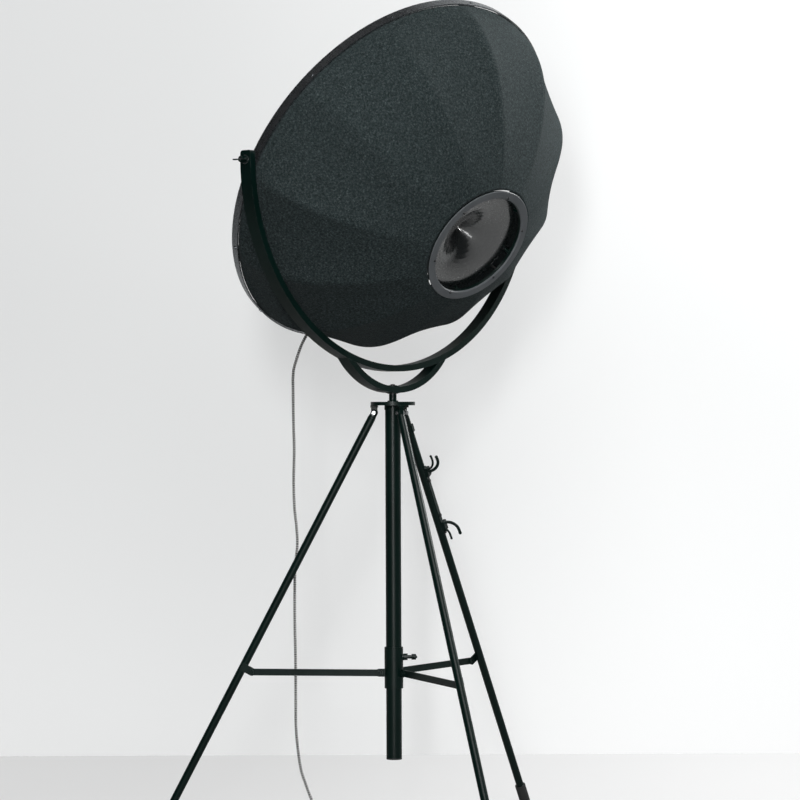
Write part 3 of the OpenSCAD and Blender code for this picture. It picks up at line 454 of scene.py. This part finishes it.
def braided_cord():
    """Textile flex: black and white yarns braided round the core in a small diamond pattern."""
    material, nodes, links, shader = new_finish("cord_textile_braid")
    cloth = add(nodes, "ShaderNodeUVMap", uv_map="cloth").outputs["UV"]
    split = nodes.new("ShaderNodeSeparateXYZ")
    links.new(cloth, split.inputs[0])
    carriers = maths(nodes, links, "MULTIPLY", split.outputs[0],
                     BRAID_CARRIERS / (math.pi * CORD_D))
    lay = maths(nodes, links, "MULTIPLY", split.outputs[1], 1 / BRAID_LAY)
    one_way = maths(nodes, links, "ADD", carriers, lay)
    other_way = maths(nodes, links, "SUBTRACT", carriers, lay)
    both = nodes.new("ShaderNodeCombineXYZ")
    links.new(one_way, both.inputs[0])
    links.new(other_way, both.inputs[1])
    both.inputs[2].default_value = 0.5
    plaits = add(nodes, "ShaderNodeTexChecker", Scale=1.0)
    plaits.inputs["Color1"].default_value = (0.012, 0.013, 0.014, 1)
    plaits.inputs["Color2"].default_value = (0.56, 0.56, 0.55, 1)
    links.new(both.outputs[0], plaits.inputs["Vector"])
    fibres = nodes.new("ShaderNodeMapping")
    fibres.inputs["Scale"].default_value = (5200, 1500, 1)
    links.new(cloth, fibres.inputs["Vector"])
    fuzz = noise(nodes, links, fibres.outputs["Vector"], 1, 2, 0.6)
    shade = ramp(nodes, links, fuzz, ((0.25, 0.6), (0.75, 1.15)))
    links.new(mix(nodes, links, 1.0, plaits.outputs["Color"], shade, "MULTIPLY"),
              shader.inputs["Base Color"])

    def ridges(way):
        wave = maths(nodes, links, "SINE", maths(nodes, links, "MULTIPLY", way, math.pi))
        return maths(nodes, links, "ABSOLUTE", wave)

    relief = maths(nodes, links, "MULTIPLY", ridges(one_way), ridges(other_way))
    bump(nodes, links, shader, relief, 0.7, 0.0004)
    links.new(ramp(nodes, links, fuzz, ((0.2, 0.75), (0.8, 0.95))), shader.inputs["Roughness"])
    shader.inputs["Specular IOR Level"].default_value = 0.25
    shader.inputs["Sheen Weight"].default_value = 0.15
    return material


def frosted_glass():
    """Etched lamp glass: milky, with a slightly uneven frost."""
    material, nodes, links, shader = new_finish("lamp_glass_frosted")
    place = object_place(nodes)
    frost = noise(nodes, links, place, 220, 4, 0.65)
    links.new(ramp(nodes, links, frost, ((0.3, (0.86, 0.84, 0.79)), (0.7, (0.95, 0.94, 0.90)))),
              shader.inputs["Base Color"])
    links.new(ramp(nodes, links, frost, ((0.3, 0.32), (0.7, 0.5))), shader.inputs["Roughness"])
    bump(nodes, links, shader, noise(nodes, links, place, 1400, 2, 0.5), 0.15, 0.0001)
    shader.inputs["Transmission Weight"].default_value = 0.45
    shader.inputs["Subsurface Weight"].default_value = 0.2
    shader.inputs["IOR"].default_value = 1.45
    return material


def make_finishes():
    """One finish for each material slot of the record."""
    green = dict(dark=(0.0006, 0.0056, 0.0044), light=(0.0012, 0.0088, 0.0070))
    return {
        "steel_green": paint_with_worn_and_highlit_edges("steel_green_powder", rough=0.36, bare=(0.10, 0.12, 0.12),
                                  **green),
        "bush_plastic": moulded("bush_plastic_white", (0.60, 0.58, 0.53), (0.76, 0.74, 0.69),
                                0.42),
        "rubber_black": moulded("rubber_black_matt", (0.010, 0.011, 0.011),
                                (0.022, 0.023, 0.023), 0.66),
        "bright_steel": bare_steel("bright_steel_zinc", (0.60, 0.61, 0.62), 0.26),
        "band_grey": painted("band_grey_satin", (0.17, 0.18, 0.19), (0.25, 0.26, 0.27), 0.3,
                             peel=0.1, metallic=0.95),
        "ring_grey": paint_with_worn_and_highlit_edges("ring_grey_satin", (0.075, 0.082, 0.088), (0.100, 0.108, 0.115),
                                0.38, (0.26, 0.27, 0.28)),
        "black_steel": painted("black_steel_oxide", (0.008, 0.009, 0.010), (0.020, 0.021, 0.022),
                               0.45, metallic=0.5),
        "gloss_black": painted("gloss_black_lacquer", (0.0050, 0.0068, 0.0070),
                               (0.0080, 0.0100, 0.0104), 0.3, peel=0.03, coat=1.0),
        "cup_white": painted("cup_white_matt", (0.70, 0.69, 0.65), (0.80, 0.79, 0.75), 0.55),
        "holder_black": moulded("holder_black_phenolic", (0.008, 0.008, 0.009),
                                (0.020, 0.020, 0.021), 0.24, grain=300, depth=0.08),
        "lamp_glass": frosted_glass(),
        "plug_black": moulded("plug_black_moulded", (0.010, 0.010, 0.011), (0.024, 0.024, 0.025),
                              0.5, grain=900, depth=0.3),
        "shade_fabric": knitted_cover(),
        "cord_textile": braided_cord(),
    }


def dress_cad(finishes):
    """Every kept CAD node gets the finish of its slot."""
    for part in frame["record"]["subparts"]:
        node = frame["nodes"][part["node"]]
        if not node.material_slots:
            node.data.materials.append(None)
        for place in node.material_slots:
            place.material = finishes[part["material_slot"]]


# ======================================================================== cords
def make_cords(finishes):
    """The flex, in stretches from the rim to the plug."""
    braid = finishes["cord_textile"]

    def laid(name, path):
        piece = tube_along(name, path, CORD_D, CORD_SIDES)
        piece.data.materials.append(braid)
        return piece

    top = curve_through(UPPER, 0.004)
    cord_top = laid("cord_top", top)
    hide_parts("cord_upper")

    whole = curve_through(DROP, 0.006)
    cut = min(range(len(whole)), key=lambda i: abs(whole[i].z - FALL_END_Z))
    fall, slack = whole[: cut + 1], whole[cut:]
    cord_fall = laid("cord_fall", fall)
    cord_slack = laid("cord_slack", slack)
    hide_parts("cord_drop")
    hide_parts("cord_drop")

    reach = Vector((0, CORD_D, 0))
    wound = coil_path(24)
    wound = [wound[0] - reach, *wound, wound[-1] + reach]
    tail = curve_through(TAIL, 0.003)
    store = wound + tail[1:]
    cord_store = laid("cord_store", store)
    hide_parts("cord_coil", "cord_tail")
    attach(cord_store, "column")

    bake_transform(cord_top)
    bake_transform(cord_fall)
    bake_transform(cord_slack)

    inside = curve_through(lead_path(), 0.004)
    inner = laid("lead_inside", inside)
    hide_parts("inner_lead")
    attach(inner, "shade")


# ======================================================================== fabric of the shade
GORE_FACES = 22  # across one gore
COVER_ROWS = 72  # from the hem to the apex
GORE_SHIFT = 0.31  # keeps the yarns of two gores from lining up


def make_cover(finishes):
    """Twelve gores of stretch cloth, drawn in between the ribs, in one closed thin shell."""
    mesh = bpy.data.meshes.new("shade_cloth")
    bm = bmesh.new()
    uv = bm.loops.layers.uv.new("cloth")

    def point(rib_share, s, off):
        r, h = ridge_point(s, off)
        flatness = DRAW_IN * math.sqrt(max(0.0, math.sin(math.pi * s)))
        half = math.pi / RIBS
        part = rib_share % 1
        chord = r * math.cos(half) / math.cos(half * (1 - 2 * part))
        r += (chord - r) * flatness
        a = RIB_PHASE + math.tau * rib_share / RIBS
        return from_shade(r * math.cos(a), r * math.sin(a), h)

    total = RIBS * GORE_FACES
    stations = [i / COVER_ROWS for i in range(COVER_ROWS + 1)]
    layers = []
    for off in (0.0, FABRIC_T):
        grid = [
            [bm.verts.new(point(k / GORE_FACES, s, off)) for k in range(total)]
            for s in stations
        ]
        layers.append(grid)
    heights = [0.0]
    for i in range(COVER_ROWS):
        a, b = ridge_point(stations[i]), ridge_point(stations[i + 1])
        heights.append(heights[-1] + math.dist(a, b))

    def face(corners, places, flip):
        made = bm.faces.new(list(reversed(corners)) if flip else corners)
        made.smooth = True
        for loop, where in zip(made.loops, reversed(places) if flip else places):
            loop[uv].uv = where

    for grid, flip in zip(layers, (False, True)):
        for i in range(COVER_ROWS):
            for k in range(total):
                m = (k + 1) % total
                middle = (k // GORE_FACES + 0.5) * GORE_FACES
                u0 = (k - middle) / total * math.tau
                u1 = (k + 1 - middle) / total * math.tau
                r0, r1 = ridge_point(stations[i])[0], ridge_point(stations[i + 1])[0]
                gore = (k // GORE_FACES) * GORE_SHIFT
                places = [(gore + u0 * r0, heights[i]), (gore + u1 * r0, heights[i]),
                          (gore + u1 * r1, heights[i + 1]), (gore + u0 * r1, heights[i + 1])]
                face([grid[i][k], grid[i][m], grid[i + 1][m], grid[i + 1][k]], places, flip)
    places = [(0, 0), (0.01, 0), (0.01, 0.001), (0, 0.001)]
    outer, inner = layers
    for i, flip in ((0, True), (COVER_ROWS, False)):
        for k in range(total):
            m = (k + 1) % total
            face([outer[i][k], outer[i][m], inner[i][m], inner[i][k]], places, flip)
    bmesh.ops.recalc_face_normals(bm, faces=bm.faces)
    area = sum(f.calc_area() for f in bm.faces) / 2
    bm.to_mesh(mesh)
    bm.free()
    cover = bpy.data.objects.new("shade_cloth", mesh)
    bpy.context.collection.objects.link(cover)
    cover.data.materials.append(finishes["shade_fabric"])
    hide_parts("shade_cover")
    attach(cover, "shade")


# ======================================================================== floor, wall and light
def spread(nodes, links, source, start, end, low, high):
    """Low before start, high after end, and a smooth rise between."""
    node = add(nodes, "ShaderNodeMapRange", interpolation_type="SMOOTHSTEP")
    for socket, value in zip(list(node.inputs)[1:5], (start, end, low, high)):
        socket.default_value = value
    links.new(source, node.inputs["Value"])
    return node.outputs["Result"]


def pale_surface(name, colour, mottle, sideways, upwards, mirrored=0.0):
    """Plain pale paint that keeps the lamp's shadow, and shows lighter to the camera.

    sideways and upwards each say where the extra light changes, in the piece's own units, and
    how strong it is on the two sides. mirrored is the share of it that reflections show.
    """
    material, nodes, links, shader = new_finish(name)
    place = object_place(nodes)
    cloudy = noise(nodes, links, place, mottle, 3, 0.5)
    tint = tuple(c * 0.985 for c in colour)
    links.new(ramp(nodes, links, cloudy, ((0.3, tint), (0.7, colour))), shader.inputs["Base Color"])
    shader.inputs["Roughness"].default_value = 0.9
    shader.inputs["Specular IOR Level"].default_value = 0.1
    path = nodes.new("ShaderNodeLightPath")
    views = maths(nodes, links, "MAXIMUM", path.outputs["Is Camera Ray"],
                  path.outputs["Is Transmission Ray"])
    in_gloss = maths(nodes, links, "MULTIPLY", path.outputs["Is Glossy Ray"], mirrored)
    views = maths(nodes, links, "MAXIMUM", views, in_gloss)
    split = nodes.new("ShaderNodeSeparateXYZ")
    links.new(place, split.inputs[0])
    seen = maths(nodes, links, "ADD", spread(nodes, links, split.outputs[0], *sideways),
                 spread(nodes, links, split.outputs[1], *upwards))
    shader.inputs["Emission Color"].default_value = (1.0, 1.0, 1.0, 1)
    links.new(maths(nodes, links, "MULTIPLY", views, seen), shader.inputs["Emission Strength"])
    return material, nodes, links, shader


def flat_piece(name, size, place, turn, finish):
    bpy.ops.object.select_all(action="DESELECT")
    bpy.ops.mesh.primitive_plane_add(size=1, location=place)
    piece = bpy.context.object
    piece.name = name
    piece.scale = (*size, 1)
    piece.rotation_euler = turn
    piece.data.materials.append(finish)
    return piece


def make_stage():
    """A floor and a wall; the wall can be looked through from behind."""
    floor_finish, *_ = pale_surface(
        "floor_paint", (0.12, 0.123, 0.123), 3, (-0.05, 0.08, 0.58, 0.78), (0, 1, 0, 0),
        mirrored=0.3)
    heading = math.atan2(CAMERA_RIGHT.y, CAMERA_RIGHT.x)
    floor = flat_piece("floor", FLOOR_SIZE, (0, 0, 0), (0, 0, heading), floor_finish)

    wall_finish, nodes, links, shader = pale_surface(
        "wall_paint", (0.52, 0.53, 0.53), 1.3, (-0.045, 0.055, 0.32, 0.45),
        (-0.5, -0.34, 0.14, 0.0))
    behind = nodes.new("ShaderNodeNewGeometry")
    clear = nodes.new("ShaderNodeBsdfTransparent")
    either = nodes.new("ShaderNodeMixShader")
    links.new(behind.outputs["Backfacing"], either.inputs[0])
    links.new(shader.outputs[0], either.inputs[1])
    links.new(clear.outputs[0], either.inputs[2])
    links.new(either.outputs[0], nodes["Material Output"].inputs["Surface"])
    upright = Matrix((CAMERA_RIGHT, Vector((0, 0, 1)), TOWARDS_CAMERA)).transposed()
    place = -TOWARDS_CAMERA * WALL_BEHIND + Vector((0, 0, WALL_SIZE[1] / 2))
    wall = flat_piece("wall", WALL_SIZE, place, upright.to_euler(), wall_finish)


def soft_box(name, side, above, distance, size, watts, aim=(0, 0, 1.2)):
    """A rectangular studio light, side and above in degrees from the camera's own direction."""
    a, b = math.radians(side), math.radians(above)
    out = TOWARDS_CAMERA * math.cos(a) * math.cos(b) + CAMERA_RIGHT * math.sin(a) * math.cos(b)
    out += Vector((0, 0, math.sin(b)))
    place = Vector(aim) + out * distance
    bpy.ops.object.light_add(type="AREA", location=place)
    light = bpy.context.object
    light.name = name
    light.data.shape = "RECTANGLE"
    light.data.size, light.data.size_y = size
    light.data.energy = watts
    light.rotation_euler = out.to_track_quat("Z", "Y").to_euler()


def make_light():
    world = bpy.data.worlds.new("studio")
    world.use_nodes = True
    sky = world.node_tree.nodes["Background"]
    sky.inputs["Color"].default_value = (0.93, 0.96, 1.0, 1)
    sky.inputs["Strength"].default_value = 0.03
    bpy.context.scene.world = world
    soft_box("front", side=-3, above=6, distance=5.6, size=(0.36, 0.9), watts=130)
    soft_box("low", side=-4, above=-4, distance=5.7, size=(0.2, 1.3), watts=30)
    soft_box("top", side=8, above=40, distance=4.2, size=(2.4, 2.4), watts=120)
    soft_box("glint", side=4, above=-27, distance=2.2, size=(0.8, 0.25), watts=3.5,
             aim=(0.05, 0.24, 1.35))
    soft_box("rim", side=112, above=27, distance=2.9, size=(1.0, 1.3), watts=104)


# ======================================================================== the scene
bpy.context.scene.view_settings.view_transform = "Standard"
make_camera()
FINISHES = make_finishes()
make_cords(FINISHES)
dress_cad(FINISHES)
make_cover(FINISHES)
make_stage()
make_light()
